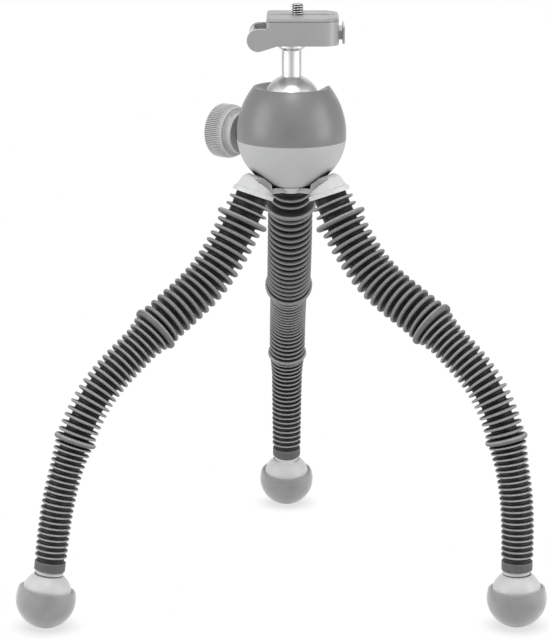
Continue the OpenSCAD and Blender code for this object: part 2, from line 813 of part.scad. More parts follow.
// A round ear at the clamp's left end, which runs out in a slope under the clamp
module clamp_ear(r, y) {
  reach = [ear_reach, -lever_up];
  turn = atan2(reach[1], reach[0]) - acos(r / norm(reach));
  at_lever(y) {
    cylinder(r = r, h = ear_t);
    linear_extrude(ear_t) polygon([[0, 0], r * [cos(turn), sin(turn)], reach, [ear_reach, 0],
      [lever_out + past, r], [0, r]]);
  }
}

module button_pocket() {
  translate([0, 0, button_mid_z]) {
    pocket_cut(pocket_x, button_x + button_gap, button_stop);
    pocket_cut(button_x - button_flange, clamp_x[1] + past, button_neck);
  }
}

module pocket_cut(x0, x1, size) {
  translate([x0, -size[0] / 2 - button_gap, -size[1] / 2 - button_gap])
    cube([x1 - x0, size[0] + 2 * button_gap, size[1] + 2 * button_gap]);
}

// A block of the button between two distances from the stem's axis
module button_block(x0, x1, size) {
  translate([x0, -size[0] / 2, -size[1] / 2]) cube([x1 - x0, size[0], size[1]]);
}

module release_button() {
  out = clamp_x[1] + button_out;
  color(clamp_grey)
  translate([0, 0, button_mid_z]) {
    button_block(button_x - button_flange, button_x, button_stop);
    button_block(button_x - past, out - button_t / 2, button_neck);
    button_block(out - button_t, out, [button_w, button_h]);
  }
}

// A bowed strip between the pocket's end and the button
module button_spring() {
  x0 = pocket_x - button_gap + 0.3;
  x1 = button_x - button_flange - 0.1;
  y = button_w / 3;
  color(steel)
  translate([0, 0, button_mid_z - spring_w / 2]) linear_extrude(spring_w)
    polygon([[x0, -y], [x0 + spring_t, -y], [x1, 0], [x0 + spring_t, y], [x0, y], [x1 - spring_t, 0]]);
}

module quick_plate() {
  color(clamp_grey)
  difference() {
    union() {
      translate([0, 0, top_z]) linear_extrude(plate_t) clamp_outline();
      intersection() {
        tail(0, tail_front + tail_gap - clamp_y, clamp_y - tail_gap);
        translate([0, 0, tail_z]) cylinder(r = far, h = tail_h + past);
      }
    }
    translate([camera_screw_x, 0, tail_z - past]) {
      cylinder(r = camera_screw_r + run_gap, h = far);
      cylinder(r = screw_flange_r + screw_flange_gap, h = screw_flange_h + 2 * screw_flange_gap + past);
    }
    translate([0, 0, plate_z]) {
      translate([clamp_x[0] - past, -groove_w / 2, -groove_d])
        cube([key_slot[0] - clamp_x[0], groove_w, far]);
      translate([key_slot[0], -key_slot_w / 2, -2 * groove_d])
        cube([key_slot[1] - key_slot[0], key_slot_w, far]);
      translate([dimple_x, 0, -groove_d]) cylinder(r = dimple_r, h = far);
    }
  }
}

module camera_screw() {
  color(steel)
  translate([camera_screw_x, 0, tail_z + screw_flange_gap]) {
    cylinder(r = screw_flange_r, h = screw_flange_h);
    cylinder(r = camera_screw_r - screw_undercut, h = camera_screw_tip() - screw_tip);
    translate([0, 0, camera_screw_tip() - camera_screw_h]) {
      cylinder(r = camera_screw_r, h = camera_screw_h - screw_tip);
      translate([0, 0, camera_screw_h - screw_tip])
        cylinder(r1 = camera_screw_r, r2 = camera_screw_r - screw_tip, h = screw_tip);
    }
  }
}

// Height of the camera screw's tip above its flange's underside
function camera_screw_tip() = plate_z + camera_screw_h - tail_z - screw_flange_gap;

module stem_bolt() {
  color(steel)
  translate([0, 0, tail_z - bolt_head_h]) {
    cylinder(r = bolt_head_r, h = bolt_head_h - tail_gap);
    translate([0, 0, clamp_z + bolt_head_h - tail_z - bolt_len + flange_h])
      cylinder(r = stem_bolt_r, h = tail_z - bolt_head_h - clamp_z + bolt_len - flange_h + past);
  }
}

// A round lever between the ears, with a trough that is open towards the top and the clamp
module clamp_lever() {
  trough = lever_len - 2 * lever_end;
  color(clamp_grey)
  at_lever(lever_len / 2) difference() {
    cylinder(r = lever_r, h = lever_len);
    translate([0, 0, lever_end]) {
      cylinder(r = lever_r - lever_wall, h = trough);
      rotate([0, 0, 45]) translate([lever_open * lever_r, -far / 2, 0]) cube([far, far, trough]);
    }
    translate([0, 0, -past]) cylinder(r = lever_pin_r + run_gap, h = lever_len + 2 * past);
  }
}

module lever_pin() {
  color(steel)
  at_lever(clamp_y - pin_cover) cylinder(r = lever_pin_r, h = 2 * (clamp_y - pin_cover) - past);
}

camera_screw();
quick_plate();
clamp_body();
clamp_lever();
lever_pin();
release_button();
button_spring();
stem_bolt();
ball_stem();
ball_liner();
pressure_block();
dome();
bowl();
housing_screws();
knob_grip();
knob_collar();
knob_screw();
knob_bushing();
hub();
hub_bolt();
hub_washer();
link(0, 0);  // back_link_1
link(0, 1);  // back_link_2
link(0, 2);  // back_link_3
link(0, 3);  // back_link_4
link(0, 4);  // back_link_5
sleeve(0, 0);  // back_sleeve_1
sleeve(0, 1);  // back_sleeve_2
sleeve(0, 2);  // back_sleeve_3
sleeve(0, 3);  // back_sleeve_4
sleeve(0, 4);  // back_sleeve_5
foot_cap(0);  // back_foot_cap
foot_pad(0);  // back_foot_pad
link(1, 0);  // left_link_1
link(1, 1);  // left_link_2
link(1, 2);  // left_link_3
link(1, 3);  // left_link_4
link(1, 4);  // left_link_5
sleeve(1, 0);  // left_sleeve_1
sleeve(1, 1);  // left_sleeve_2
sleeve(1, 2);  // left_sleeve_3
sleeve(1, 3);  // left_sleeve_4
sleeve(1, 4);  // left_sleeve_5
foot_cap(1);  // left_foot_cap
foot_pad(1);  // left_foot_pad
link(2, 0);  // right_link_1
link(2, 1);  // right_link_2
link(2, 2);  // right_link_3
link(2, 3);  // right_link_4
link(2, 4);  // right_link_5
sleeve(2, 0);  // right_sleeve_1
sleeve(2, 1);  // right_sleeve_2
sleeve(2, 2);  // right_sleeve_3
sleeve(2, 3);  // right_sleeve_4
sleeve(2, 4);  // right_sleeve_5
foot_cap(2);  // right_foot_cap
foot_pad(2);  // right_foot_pad
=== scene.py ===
"""A flexible leg tripod dressed around its frame: looks, ribbed legs, fine parts, light and camera."""

import json
import math

import bpy
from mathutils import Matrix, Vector

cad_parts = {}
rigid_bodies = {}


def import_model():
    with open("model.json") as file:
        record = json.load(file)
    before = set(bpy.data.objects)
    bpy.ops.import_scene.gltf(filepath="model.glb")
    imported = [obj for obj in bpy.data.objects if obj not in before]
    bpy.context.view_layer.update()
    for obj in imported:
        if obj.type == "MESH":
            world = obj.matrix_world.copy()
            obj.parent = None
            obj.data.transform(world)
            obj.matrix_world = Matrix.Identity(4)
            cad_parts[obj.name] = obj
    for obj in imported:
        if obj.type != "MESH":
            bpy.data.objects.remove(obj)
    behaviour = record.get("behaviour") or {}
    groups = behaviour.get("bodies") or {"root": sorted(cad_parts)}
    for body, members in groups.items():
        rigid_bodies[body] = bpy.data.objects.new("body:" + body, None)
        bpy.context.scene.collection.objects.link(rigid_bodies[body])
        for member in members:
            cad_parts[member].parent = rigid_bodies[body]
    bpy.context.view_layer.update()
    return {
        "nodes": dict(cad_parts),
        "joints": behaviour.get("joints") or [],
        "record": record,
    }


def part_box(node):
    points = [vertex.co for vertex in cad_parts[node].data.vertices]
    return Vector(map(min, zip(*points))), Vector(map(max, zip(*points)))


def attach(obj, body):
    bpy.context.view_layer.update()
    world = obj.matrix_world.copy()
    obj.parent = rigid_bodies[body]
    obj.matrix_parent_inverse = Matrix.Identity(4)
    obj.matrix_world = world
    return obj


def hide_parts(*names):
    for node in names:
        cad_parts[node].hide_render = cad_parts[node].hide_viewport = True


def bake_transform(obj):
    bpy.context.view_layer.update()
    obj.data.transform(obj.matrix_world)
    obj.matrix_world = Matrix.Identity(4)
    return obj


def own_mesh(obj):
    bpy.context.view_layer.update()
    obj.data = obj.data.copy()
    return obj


for old in list(bpy.data.objects):
    bpy.data.objects.remove(old, do_unlink=True)

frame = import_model()
scene = bpy.context.scene
MM = 0.001
UPWARD = Vector((0, 0, 1))
LEGS = ("back", "left", "right")
LINKS = 5
JOINT = {j["name"]: j for j in frame["joints"]}
MOUNT = {m["name"]: m for m in frame["record"]["mounts"]}


# Shader helpers

# The span that holds nearly all values of a noise, and what a grey gains in red, green and blue
NOISE_SPAN = (0.3, 0.7)
COOL_TINT = (-0.008, -0.0032, 0.008)


def shader(name):
    material = bpy.data.materials.new(name)
    material.use_nodes = True
    tree = material.node_tree
    return material, tree, tree.nodes["Principled BSDF"]


def link(tree, a, b):
    tree.links.new(a, b)


def put(node, values):
    """Set a node's inputs by their names."""
    for name, value in values.items():
        node.inputs[name].default_value = value


def noise(tree, scale, detail=3.0, rough=0.5):
    coords = tree.nodes.new("ShaderNodeTexCoord")
    node = tree.nodes.new("ShaderNodeTexNoise")
    put(node, {"Scale": scale, "Detail": detail, "Roughness": rough})
    link(tree, coords.outputs["Object"], node.inputs["Vector"])
    return node.outputs["Fac"]


def spread(tree, value, low, high, span=NOISE_SPAN):
    """A value whose span is stretched to run from low to high."""
    node = tree.nodes.new("ShaderNodeMapRange")
    put(node, {"From Min": span[0], "From Max": span[1], "To Min": low, "To Max": high})
    link(tree, value, node.inputs["Value"])
    return node.outputs["Result"]


def mixed(tree, share, a, b):
    """The colour between a and b, each of them a plain colour or a node's output."""
    node = tree.nodes.new("ShaderNodeMix")
    node.data_type = "RGBA"
    link(tree, share, node.inputs[0])
    for index, colour in ((6, a), (7, b)):
        if isinstance(colour, tuple):
            node.inputs[index].default_value = (*colour, 1)
        else:
            link(tree, colour, node.inputs[index])
    return node.outputs[2]


def painted(tree, name):
    """The number that a mesh gives each of its points under this name."""
    node = tree.nodes.new("ShaderNodeAttribute")
    node.attribute_name = name
    return node.outputs["Fac"]


def bump(tree, bsdf, grain, strength, height):
    node = tree.nodes.new("ShaderNodeBump")
    put(node, {"Strength": strength, "Distance": height})
    link(tree, grain, node.inputs["Height"])
    link(tree, node.outputs["Normal"], bsdf.inputs["Normal"])


def openness(tree, reach, samples, span, low=0.0):
    """A value from low, where other surfaces stand within reach, to 1 in the open; it says where shade is
    painted.
    """
    near = tree.nodes.new("ShaderNodeAmbientOcclusion")
    near.samples = samples
    put(near, {"Distance": reach * MM})
    return spread(tree, near.outputs["AO"], low, 1.0, span)


def grey(v):
    return tuple(v * (1 + tint) for tint in COOL_TINT)


def cloudy(tree, colour, vary, scale, detail=3.0, rough=0.5):
    """A colour that drifts a little darker and lighter over the surface."""
    dark, light = (tuple(c * k for c in colour) for k in (1 - vary, 1 + vary))
    return mixed(tree, spread(tree, noise(tree, scale, detail, rough), 0, 1), dark, light)


def painted_crevice_shade(tree, colour, dark, reach):
    """A colour with painted shade: it turns darker where other surfaces stand close by."""
    return mixed(tree, openness(tree, reach, samples=12, span=(0.25, 0.85)), dark, colour)


# Materials

GRAIN_HEIGHT = 0.2 * MM
BRUSH_HEIGHT = 0.05 * MM
CREVICE_SHADE = 0.3


def moulded(name, value, rough, coat=0.0, reach=0.0):
    """Moulded plastic: slight cloudiness, uneven gloss and a fine spark-eroded grain, with painted shade
    where other surfaces stand within a given reach.
    """
    material, tree, bsdf = shader(name)
    tone = cloudy(tree, grey(value), vary=0.05, scale=45, detail=4, rough=0.6)
    # Painted shade: the colour turns darker where other surfaces stand within reach
    if reach:
        tone = painted_crevice_shade(tree, tone, grey(CREVICE_SHADE * value), reach)
    gloss = spread(tree, noise(tree, scale=160), rough - 0.05, rough + 0.06)
    link(tree, tone, bsdf.inputs["Base Color"])
    link(tree, gloss, bsdf.inputs["Roughness"])
    put(bsdf, {"Specular IOR Level": 0.5, "Coat Weight": coat, "Coat Roughness": 0.22})
    bump(tree, bsdf, noise(tree, scale=1800, detail=2), strength=0.05, height=GRAIN_HEIGHT)
    return material


def rubber(name, value, rim, rough, sheen=0.0, shine=0.3, reach=0.0):
    """Soft rubber: matt, with paler rims where the mesh says so, a painted highlight mottled a little,
    and painted shade where other surfaces stand within a given reach.
    """
    material, tree, bsdf = shader(name)
    body = cloudy(tree, grey(value), vary=0.12, scale=90, detail=4, rough=0.65)
    rim_highlight = cloudy(tree, grey(rim), vary=0.1, scale=420, detail=5, rough=0.7)
    # Painted highlight: the rims' paleness stands in for light on the rib edges
    tone = mixed(tree, painted(tree, "rim"), body, rim_highlight)
    # Painted shade: the colour turns darker where other surfaces stand within reach
    if reach:
        tone = painted_crevice_shade(tree, tone, grey(CREVICE_SHADE * value), reach)
    gloss = spread(tree, noise(tree, scale=220), rough - 0.06, rough + 0.06)
    link(tree, tone, bsdf.inputs["Base Color"])
    link(tree, gloss, bsdf.inputs["Roughness"])
    put(bsdf, {"Specular IOR Level": shine, "Sheen Weight": sheen, "Sheen Roughness": 0.45})
    bump(tree, bsdf, noise(tree, scale=2600), strength=0.12, height=GRAIN_HEIGHT)
    return material


def metal(name, colour, rough, brush=0.02, edge=1.0):
    """Metal with faint tarnish and brushing; its colour can fall off where it is seen at a slant, painted
    shade on its sides.
    """
    material, tree, bsdf = shader(name)
    slant = tree.nodes.new("ShaderNodeLayerWeight")
    put(slant, {"Blend": 0.25})
    tarnish = cloudy(tree, colour, vary=0.03, scale=70)
    # Painted shade: the colour turns darker where the surface is seen at a slant
    tone = mixed(tree, slant.outputs["Facing"], tarnish, tuple(c * edge for c in colour))
    brushed = noise(tree, scale=300, detail=4, rough=0.6)
    gloss = spread(tree, brushed, rough - 0.03, rough + 0.04)
    link(tree, tone, bsdf.inputs["Base Color"])
    link(tree, gloss, bsdf.inputs["Roughness"])
    put(bsdf, {"Metallic": 1.0})
    bump(tree, bsdf, brushed, strength=brush, height=BRUSH_HEIGHT)
    return material


def grooved(material, groove):
    """A material with painted shade in its grooves, where the mesh says so."""
    tree = material.node_tree
    base = tree.nodes["Principled BSDF"].inputs["Base Color"]
    plain = base.links[0].from_socket
    link(tree, mixed(tree, painted(tree, "groove"), plain, grey(groove)), base)
    return material


# A reach, in millimetres, paints shade into a material's colour where other surfaces stand close by
DOME = moulded("dome_grey", value=0.185, rough=0.34, reach=10)
BOWL = moulded("bowl_grey", value=0.43, rough=0.46, reach=5)
HUB = moulded("hub_grey", value=0.60, rough=0.46, reach=7)
# Painted shade in the knob's flutes and, below, in the screw's thread
KNOB = grooved(moulded("knob_grey", value=0.60, rough=0.46), groove=0.10)
COLLAR = moulded("collar_grey", value=0.38, rough=0.42)
# Near black, so the bushing seen in the gap between the knob's collar and the dome stands in for the
# shade there: painted shade
NECK = moulded("knob_gap_shade_grey", value=0.05, rough=0.45)
CLAMP = moulded("clamp_grey", value=0.31, rough=0.32, coat=0.5)
PLATE = moulded("plate_grey", value=0.27, rough=0.40, reach=2.2)
FOOT_CAP = moulded("foot_cap_grey", value=0.55, rough=0.42)
# Near black ring at a foot's neck: painted shade
FOOT_RING_SHADE = moulded("foot_ring_shade_grey", value=0.10, rough=0.5)
LINER = moulded("liner_white", value=0.72, rough=0.35)
SLEEVE = rubber("sleeve_rubber", value=0.014, rim=0.315, rough=0.5)
FOOT = rubber("foot_rubber", value=0.24, rim=0.30, rough=0.48, sheen=0.9, shine=0.5, reach=4)
CHROME = metal("chrome", colour=(0.88, 0.885, 0.89), rough=0.34, brush=0.0, edge=0.45)
STEEL = metal("steel", colour=(0.62, 0.63, 0.65), rough=0.24)
SCREW = grooved(metal("screw_steel", colour=(0.66, 0.66, 0.67), rough=0.14, edge=0.5), groove=0.03)
CORE = metal("core_alloy", colour=(0.60, 0.61, 0.63), rough=0.35)

NODE_MATERIAL = {
    "camera_screw": SCREW, "quick_plate": PLATE, "clamp_body": CLAMP, "clamp_lever": CLAMP,
    "lever_pin": STEEL, "release_button": CLAMP, "button_spring": STEEL, "stem_bolt": STEEL,
    "ball_stem": CHROME, "ball_liner": LINER, "pressure_block": STEEL, "dome": DOME, "bowl": BOWL,
    "housing_screws": STEEL, "knob_grip": KNOB, "knob_collar": COLLAR, "knob_screw": STEEL,
    "knob_bushing": NECK, "hub": HUB, "hub_bolt": STEEL, "hub_washer": STEEL,
}
for leg in LEGS:
    NODE_MATERIAL[f"{leg}_foot_cap"] = FOOT_CAP
    NODE_MATERIAL[f"{leg}_foot_pad"] = FOOT
    for i in range(1, LINKS + 1):
        NODE_MATERIAL[f"{leg}_link_{i}"] = CORE
        NODE_MATERIAL[f"{leg}_sleeve_{i}"] = SLEEVE
for name, node in frame["nodes"].items():
    node.data.materials.clear()
    node.data.materials.append(NODE_MATERIAL[name])


# Meshes

SHARP_ANGLE = math.radians(40)


def shade(obj, smooth):
    for face in obj.data.polygons:
        face.use_smooth = smooth


def soften(obj):
    """Smooth shading that stays sharp at real edges."""
    shade(obj, True)
    obj.data.set_sharp_from_angle(angle=SHARP_ANGLE)


def make(name, verts, faces, material, body=None):
    mesh = bpy.data.meshes.new(name)
    mesh.from_pydata(verts, [], faces)
    mesh.validate()
    mesh.update()
    mesh.materials.append(material)
    obj = bpy.data.objects.new(name, mesh)
    shade(obj, True)
    scene.collection.objects.link(obj)
    if body:
        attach(obj, body)
    return obj


def paint(obj, name, values):
    """Give each point of a mesh a number, which its material reads by this name."""
    layer = obj.data.attributes.new(name, "FLOAT", "POINT")
    layer.data.foreach_set("value", values)


def tube_faces(rows, cols, first=True, last=True):
    """Faces between rings of points, with the first and the last ring closed or left open."""
    faces = []
    for i in range(rows - 1):
        for j in range(cols):
            k = (j + 1) % cols
            faces.append((i * cols + j, i * cols + k, (i + 1) * cols + k, (i + 1) * cols + j))
    if first:
        faces.append(tuple(reversed(range(cols))))
    if last:
        faces.append(tuple(range((rows - 1) * cols, rows * cols)))
    return faces


def inside_out(faces):
    return [tuple(reversed(face)) for face in faces]


def lerp_table(x, table):
    if x <= table[0][0]:
        return table[0][1]
    for (a, va), (b, vb) in zip(table, table[1:]):
        if x <= b:
            return va + (vb - va) * (x - a) / (b - a)
    return table[-1][1]


# The legs: one smooth ribbed sleeve and one bendable core each, in pieces that meet between ribs.
# Places are distances along a leg from its root, and all sizes are in millimetres.

RING1 = 13.4
UPPER, MID, LOWER = 75.6, 73.0, 65.5
UPPER_RIBS, MID_RIBS, LOWER_RIBS = 16, 19, 20
UPPER_STEP = UPPER / (UPPER_RIBS + 1)
MID_STEP = MID / (MID_RIBS + 1)
LOWER_STEP = LOWER / (LOWER_RIBS + 1)
RING2 = RING1 + UPPER
RING3 = RING2 + MID
BAND = RING3 + LOWER
BAND_LEN = 5.0
SLEEVE_END = BAND + BAND_LEN
# The middle of the foot's ball, by place and by height, and the lean of the hub's arm
FOOT_AT = SLEEVE_END + 15.5
FOOT_Z = 15.4
ARM_TILT = math.radians(21)

# The hinges, and the places where one piece of a sleeve ends and the next begins
LEG_JOINTS = ("bend_1", "swing_2", "bend_3", "swing_4", "bend_5")
PIVOT_AT = [0, RING1 + 7.5 * UPPER_STEP, RING2 + 1.5 * MID_STEP, RING2 + 13.5 * MID_STEP,
            RING3 + 7.5 * LOWER_STEP, FOOT_AT]
SPLIT_AT = [-1.2, RING1 + 2.5 * UPPER_STEP, RING1 + 12.5 * UPPER_STEP, RING2 + 7.5 * MID_STEP,
            RING2 + 19.35 * MID_STEP, RING3 + 17.5 * LOWER_STEP, SLEEVE_END]

# Each span of ribs: the thick ring above it, the number of its ribs and the step between them
SPANS = ((RING1, UPPER_RIBS, UPPER_STEP), (RING2, MID_RIBS, MID_STEP), (RING3, LOWER_RIBS, LOWER_STEP))
# Radius, thickness and paleness of each span's ring, of its ribs, of the two root ribs and of the band,
# the paleness being the strength of a painted highlight;
# the radius of a span's ribs goes by their number
RING_SIZE = ((14.1, 3.5, 1.0), (13.4, 4.2, 0.9), (11.3, 3.5, 1.0))
RIB_SIZE = (([(1, 12.3)], 2.7, 0.66),
            ([(0, 12.3), (3, 10.4)], 2.0, 0.84),
            ([(1, 10.0), (5, 9.0), (LOWER_RIBS, 8.5)], 1.45, 1.0))
ROOT_RIB_SIZE = (11.5, 1.9, 0.85)
BAND_SIZE = (8.2, BAND_LEN, 1.0)
# The root ribs' places, in steps above the first ring, and the sleeve's radius between ribs, by place
ROOT_RIBS = (2.2, 1.2)
GROOVE_R = [(0, 8.7), (RING3, 6.8), (SLEEVE_END, 7.1)]

# A rib's lip and rounded edge as shares of its thickness, the edges of the thick rings and the band,
# and the small flare at the base of each
LIP_SHARE, EDGE_SHARE = 0.12, 0.46
RING_EDGE, BAND_EDGE, BAND_LIP = 1.3, 0.4, 0.1
EDGE_STEPS = 4
FLARE_RUN, FLARE_RISE = 0.25, 0.3

# How pale the lip, each step of the upper edge, each step of the lower edge and the lower flare are: a
# painted highlight on the rib edges
LIP_RIM, FLARE_RIM = 0.1, 0.12
RIM_HIGHLIGHT = {
    "rib": ((0.14, 0.42, 0.74, 0.97, 1.0), (0.96, 0.86, 0.68, 0.14)),
    "ring": ((0.14, 0.6, 1.0, 0.9, 0.5), (0.45, 0.42, 0.35, 0.12)),
    "band": ((0.3, 0.3, 0.9, 0.3, 0.3), (0.3, 0.9, 0.3, 0.3)),
}

# The band's end edge and the dark ring of painted shade past it: distance from the sleeve's end, radius
# and, for the edge, the paleness of its painted highlight
END_EDGE = 0.3
END_ROWS = ((-0.25, 8.15, 0.8), (-0.05, 7.9, 0.6), (0, 7.5, 0.3), (0, 5.9, 0.0))
LINE_ROWS = ((1.8, 7.2), (1.9, 7.42), (2.15, 7.6), (2.45, 7.68), (2.6, 7.5))

# The core starts past the root and stops short of the foot's middle
CORE_R, CORE_START, CORE_SHORT, CORE_STEP = 4.2, 1.5, 8, 3
SLEEVE_SIDES, CORE_SIDES = 48, 20

# Distances in from a piece's ends, and from the leg's root for the first piece, at which its start and
# end points are found
BLEND_IN, ROOT_BLEND = 5, 0.4

# The centreline: steps between pivots, pull of the hub's arm on its start and reach of a slope
CURVE_STEPS = 60
ARM_PULL = 1.5
SLOPE_REACH = 0.9
TINY = 1e-6


def rib_list():
    """Kind, place along the leg, radius, thickness and paleness of each rib, thick ring and end band."""
    ribs = [("rib", RING1 - steps * UPPER_STEP, *ROOT_RIB_SIZE) for steps in ROOT_RIBS]
    for (ring, number, step), ring_size, (radii, thick, pale) in zip(SPANS, RING_SIZE, RIB_SIZE):
        ribs.append(("ring", ring, *ring_size))
        for j in range(1, number + 1):
            ribs.append(("rib", ring + j * step, lerp_table(j, radii), thick, pale))
    ribs.append(("band", BAND + BAND_LEN / 2, *BAND_SIZE))
    return ribs


def rounded_edge(kind, thick):
    """The lip before a rounded edge, and the edge's height and length along the leg."""
    lip = BAND_LIP if kind == "band" else LIP_SHARE * thick
    if kind == "rib":
        return lip, EDGE_SHARE * thick, thick / 2 - lip
    edge = BAND_EDGE if kind == "band" else RING_EDGE
    return lip, edge, edge


def sleeve_profile():
    """Distance along the leg, radius and paleness of the painted rim highlight, for the whole sleeve."""
    points = [(SPLIT_AT[0], lerp_table(0, GROOVE_R), 0.0)]
    for kind, at, r, thick, pale in rib_list():
        lip, height, length = rounded_edge(kind, thick)
        first, last = at - thick / 2, at + thick / 2
        upper, lower = RIM_HIGHLIGHT[kind]
        points.append((first - FLARE_RUN, lerp_table(first, GROOVE_R), 0.0))
        points.append((first, lerp_table(first, GROOVE_R) + FLARE_RISE, 0.0))
        points.append((first + lip, r - height, LIP_RIM))
        for q, rim in enumerate(upper):
            a = math.pi / 2 * q / EDGE_STEPS
            run, rise = length * (1 - math.cos(a)), height * math.sin(a)
            points.append((first + lip + run, r - height + rise, rim * pale))
        for q, rim in enumerate(lower, 1):
            a = math.pi / 2 * (1 - q / EDGE_STEPS)
            run, rise = length * (1 - math.cos(a)), height * math.sin(a)
            points.append((last - lip - run, r - height + rise, rim * pale))
        points.append((last, lerp_table(last, GROOVE_R) + FLARE_RISE, FLARE_RIM))
        if kind != "band":
            points.append((last + FLARE_RUN, lerp_table(last, GROOVE_R), 0.0))
    return points


def hermite(p, q, tp, tq, t):
    return (p * (2 * t ** 3 - 3 * t ** 2 + 1) + tp * (t ** 3 - 2 * t ** 2 + t)
            + q * (3 * t ** 2 - 2 * t ** 3) + tq * (t ** 3 - t ** 2))


class Centreline:
    """A smooth planar curve through a leg's pivots, by distance along the leg."""

    def __init__(self, leg):
        points = [Vector(JOINT[f"{leg}_{name}"]["pos_m"]) / MM for name in LEG_JOINTS]
        foot = Vector(MOUNT[f"{leg}_foot"]["pos_m"]) / MM
        points.append(Vector((foot.x, foot.y, FOOT_Z)))
        out = Vector((foot.x, foot.y, 0)).normalized()
        self.root = points[0]
        self.arm = out * math.sin(ARM_TILT) - UPWARD * math.cos(ARM_TILT)
        self.side = out.cross(UPWARD).normalized()
        chords = [b - a for a, b in zip(points, points[1:])]
        ways = [chord.normalized() for chord in chords]
        tangents = [(self.arm * ARM_PULL + ways[0]).normalized()]
        tangents += [(a + b).normalized() for a, b in zip(ways, ways[1:])]
        tangents.append(ways[-1])
        self.table = []
        for i, chord in enumerate(chords):
            leave, arrive = tangents[i] * chord.length, tangents[i + 1] * chord.length
            curve = [hermite(points[i], points[i + 1], leave, arrive, q / CURVE_STEPS)
                     for q in range(CURVE_STEPS + 1)]
            along = [0.0]
            for a, b in zip(curve, curve[1:]):
                along.append(along[-1] + (b - a).length)
            for q in range(CURVE_STEPS):
                at = PIVOT_AT[i] + along[q] / along[-1] * (PIVOT_AT[i + 1] - PIVOT_AT[i])
                self.table.append((at, curve[q]))
        self.table.append((FOOT_AT, points[-1]))

    def point(self, s):
        if s <= 0:
            return self.root + self.arm * s
        for (a, pa), (b, pb) in zip(self.table, self.table[1:]):
            if s <= b:
                return pa.lerp(pb, (s - a) / (b - a))
        return self.table[-1][1] + (self.table[-1][1] - self.table[-2][1]).normalized() * (s - FOOT_AT)

    def direction(self, s):
        return (self.point(s + SLOPE_REACH) - self.point(s - SLOPE_REACH)).normalized()

    def ring(self, s, r, count):
        middle, ahead = self.point(s), self.direction(s)
        across = ahead.cross(self.side).normalized()
        return [(middle + (self.side * math.cos(a) + across * math.sin(a)) * r) * MM
                for a in (2 * math.pi * j / count for j in range(count))]


def swept(name, line, profile, count, material, first=False, last=False):
    """A round profile along a leg's centreline, with its ends closed or left open."""
    verts, rims = [], []
    for s, r, rim in profile:
        verts += line.ring(s, r, count)
        rims += [rim] * count
    obj = make(name, verts, tube_faces(len(profile), count, first, last), material)
    # Paleness of the painted rim highlight, which the material reads by the name rim
    paint(obj, "rim", rims)
    return obj


def cut_profile(points, a, b):
    """The part of a profile between two distances, with its end points put in."""
    def at(s):
        for p, q in zip(points, points[1:]):
            if p[0] <= s <= q[0] and q[0] > p[0]:
                f = (s - p[0]) / (q[0] - p[0])
                return (s, p[1] + (q[1] - p[1]) * f, p[2] + (q[2] - p[2]) * f)
        return points[0] if s <= points[0][0] else points[-1]
    return [at(a)] + [p for p in points if a + TINY < p[0] < b - TINY] + [at(b)]


def build_leg(leg, line):
    """The pieces of a sleeve and a core: five pairs set in place along the leg, and a pair on the last
    link.
    """
    profile = sleeve_profile()
    for i in range(LINKS + 1):
        first, last = i == 0, i == LINKS
        a, b = SPLIT_AT[i], SPLIT_AT[i + 1]
        part = cut_profile(profile, a, b)
        if last:
            part = [p for p in part if p[0] < SLEEVE_END - END_EDGE]
            part += [(SLEEVE_END + s, r, rim) for s, r, rim in END_ROWS]
        sleeve = swept(f"{leg}_ribbed_sleeve_{i + 1}", line, part, SLEEVE_SIDES, SLEEVE)
        core_from = CORE_START if first else a
        core_to = FOOT_AT - CORE_SHORT if last else b
        steps = int((core_to - core_from) / CORE_STEP)
        core_part = [(core_from + (core_to - core_from) * q / steps, CORE_R, 0) for q in range(steps + 1)]
        core = swept(f"{leg}_core_{i + 1}", line, core_part, CORE_SIDES, CORE, first, last)
        if last:
            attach(sleeve, f"{leg}_5")
            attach(core, f"{leg}_5")
        else:
            start = line.point(ROOT_BLEND if first else a + BLEND_IN) * MM
            end = line.point(b - BLEND_IN) * MM
            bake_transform(sleeve)
            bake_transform(core)
            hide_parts(f"{leg}_sleeve_{i + 1}")
            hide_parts(f"{leg}_link_{i + 1}")


def foot_ring_shade(leg, line):
    """A dark ring of painted shade where a foot's neck meets its round cap."""
    profile = [(SLEEVE_END + s, r, 0) for s, r in LINE_ROWS]
    obj = swept(f"{leg}_foot_ring_shade", line, profile, SLEEVE_SIDES, FOOT_RING_SHADE)
    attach(obj, f"{leg}_5")


for leg in LEGS:
    centreline = Centreline(leg)
    build_leg(leg, centreline)
    foot_ring_shade(leg, centreline)


# The knob's grip, with straight flutes

GRIP_AT, GRIP_LENGTH = 38.1, 11.6
GRIP_NECK, GRIP_TAPER, TAPER_STEPS = 13.0, 5.0, 8
FLUTES, FLUTE_SIDES, FLUTE_DEPTH, FLUTE_POWER = 84, 8, 0.5, 0.8
FLUTE_START = 0.3

# Inner face: place out from it and radius. Barrel: places out from the inner face.
GRIP_FACE = ((0.0, 2.7), (0.0, 9.0), (0.0, GRIP_NECK - 0.3), (0.15, GRIP_NECK))
GRIP_BARREL = (7.0, 8.8)
# Outer edge: place in from the end, depth below the rim and share of a flute. Dish: place in and radius.
GRIP_EDGE = ((1.3, 0.0, 1), (0.7, 0.3, 0.9), (0.25, 0.8, 0.5), (0.0, 1.5, 0), (0.0, 2.6, 0),
             (0.2, 3.1, 0), (0.7, 3.4, 0), (0.8, 4.2, 0))
GRIP_DISH = ((0.75, 6.0), (0.6, 2.5), (0.55, 0.6))


